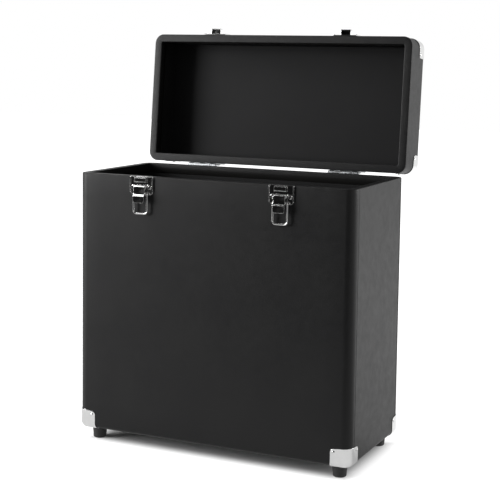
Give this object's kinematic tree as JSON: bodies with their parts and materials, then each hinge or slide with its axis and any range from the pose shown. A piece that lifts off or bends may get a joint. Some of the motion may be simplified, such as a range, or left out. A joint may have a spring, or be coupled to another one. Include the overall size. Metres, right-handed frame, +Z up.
{
  "type": "record carrying case",
  "caption": "Upright carrying case for records: leatherette-covered box on rubber feet with a hinged lid standing open, draw latches, capped corners and a swinging handle.",
  "frame": {"origin": "on the floor, under the middle of the box", "axes": "+X to the right seen from the front, +Y to the back, +Z up"},
  "size_m": [0.3512, 0.2512, 0.4949],
  "materials": {
    "leatherette": "satin, fine grain",
    "lining": "matte",
    "fibreboard": "matte, raw",
    "chrome": "polished",
    "steel": "zinc plated",
    "rubber": "moulded, matte"
  },
  "bodies": {
    "body": {"body_front_panel": "fibreboard", "body_back_panel": "fibreboard", "body_left_panel": "fibreboard", "body_right_panel": "fibreboard", "body_bottom_panel": "fibreboard", "body_front_cover": "leatherette", "body_back_cover": "leatherette", "body_left_cover": "leatherette", "body_right_cover": "leatherette", "body_bottom_cover": "leatherette", "body_lining": "lining", "body_corner_back_right": "chrome", "body_corner_back_left": "chrome", "body_corner_front_left": "chrome", "body_corner_front_right": "chrome", "body_corner_nails": "chrome", "foot_back_right": "rubber", "foot_back_left": "rubber", "foot_front_left": "rubber", "foot_front_right": "rubber", "foot_screws": "steel", "latch_left_base": "chrome", "latch_right_base": "chrome", "latch_pins": "steel", "latch_rivets": "chrome", "hinge_left_body_leaf": "steel", "hinge_right_body_leaf": "steel", "hinge_pins": "steel", "hinge_body_screws": "steel"},
    "left_lever": {"latch_left_lever": "chrome"},
    "right_lever": {"latch_right_lever": "chrome"},
    "left_bail": {"latch_left_bail": "chrome"},
    "right_bail": {"latch_right_bail": "chrome"},
    "lid": {"lid_front_panel": "fibreboard", "lid_back_panel": "fibreboard", "lid_left_panel": "fibreboard", "lid_right_panel": "fibreboard", "lid_top_panel": "fibreboard", "lid_wall_cover": "leatherette", "lid_top_cover": "leatherette", "lid_lining": "lining", "lid_corner_back_right": "chrome", "lid_corner_back_left": "chrome", "lid_corner_front_left": "chrome", "lid_corner_front_right": "chrome", "lid_corner_nails": "chrome", "latch_left_strike": "chrome", "latch_right_strike": "chrome", "strike_rivets": "chrome", "hinge_left_lid_leaf": "steel", "hinge_right_lid_leaf": "steel", "hinge_lid_screws": "steel", "handle_left_bracket": "chrome", "handle_right_bracket": "chrome", "handle_pins": "chrome", "handle_rivets": "chrome"},
    "handle": {"handle_bow": "steel", "handle_grip": "leatherette", "handle_collars": "chrome"}
  },
  "joints": [
    {"name": "lid_hinge", "type": "hinge", "parent": "body", "child": "lid", "pos_m": [0, 0.0845, 0.322], "axis": [1, 0, 0], "range_deg": [0, 95.6]},
    {"name": "handle_pivot", "type": "hinge", "parent": "lid", "child": "handle", "pos_m": [0, 0.15196, 0.40029], "axis": [1, 0, 0], "range_deg": [-5, 174]},
    {"name": "left_lever_pivot", "type": "hinge", "parent": "body", "child": "left_lever", "pos_m": [-0.088, -0.0859, 0.3095], "axis": [1, 0, 0], "range_deg": [-110, 0]},
    {"name": "left_bail_pivot", "type": "hinge", "parent": "left_lever", "child": "left_bail", "pos_m": [-0.088, -0.0853, 0.303], "axis": [-1, 0, 0], "range_deg": [-6, 178]},
    {"name": "right_lever_pivot", "type": "hinge", "parent": "body", "child": "right_lever", "pos_m": [0.088, -0.0859, 0.3095], "axis": [1, 0, 0], "range_deg": [-110, 0]},
    {"name": "right_bail_pivot", "type": "hinge", "parent": "right_lever", "child": "right_bail", "pos_m": [0.088, -0.0853, 0.303], "axis": [-1, 0, 0], "range_deg": [-6, 178]}
  ]
}
